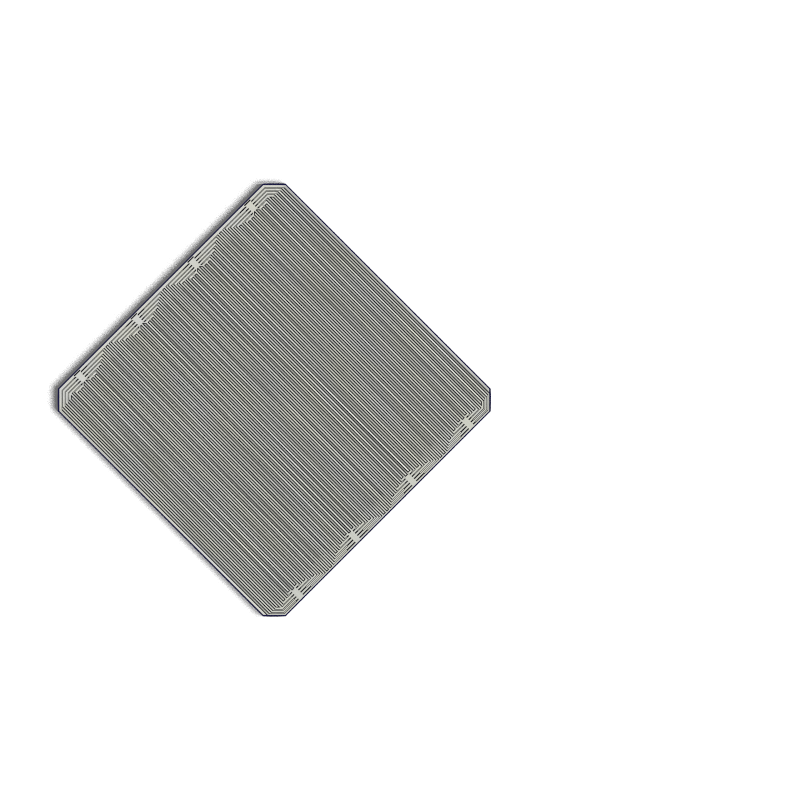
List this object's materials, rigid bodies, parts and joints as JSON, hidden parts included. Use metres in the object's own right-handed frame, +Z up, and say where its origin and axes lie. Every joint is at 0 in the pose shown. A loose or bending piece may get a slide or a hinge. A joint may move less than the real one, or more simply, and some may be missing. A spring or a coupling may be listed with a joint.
{
  "type": "solar cell",
  "caption": "Thin square solar cell with cut corners, interlocking plated contact grids on its upper face and solder pads along opposite edges.",
  "frame": {"origin": "middle of the sunny face, which the cell lies on", "axes": "+Z up, out of the contact face; +Y towards the side with the positive pads; +X along that side"},
  "size_m": [0.125, 0.125, 0.0002],
  "materials": {
    "silicon": "anti-reflection coated silicon, deep blue and glossy",
    "positive_plating": "matte tin plating",
    "negative_plating": "matte tin plating"
  },
  "bodies": {
    "root": {"wafer": "silicon", "positive_grid": "positive_plating", "negative_grid": "negative_plating"}
  },
  "joints": []
}
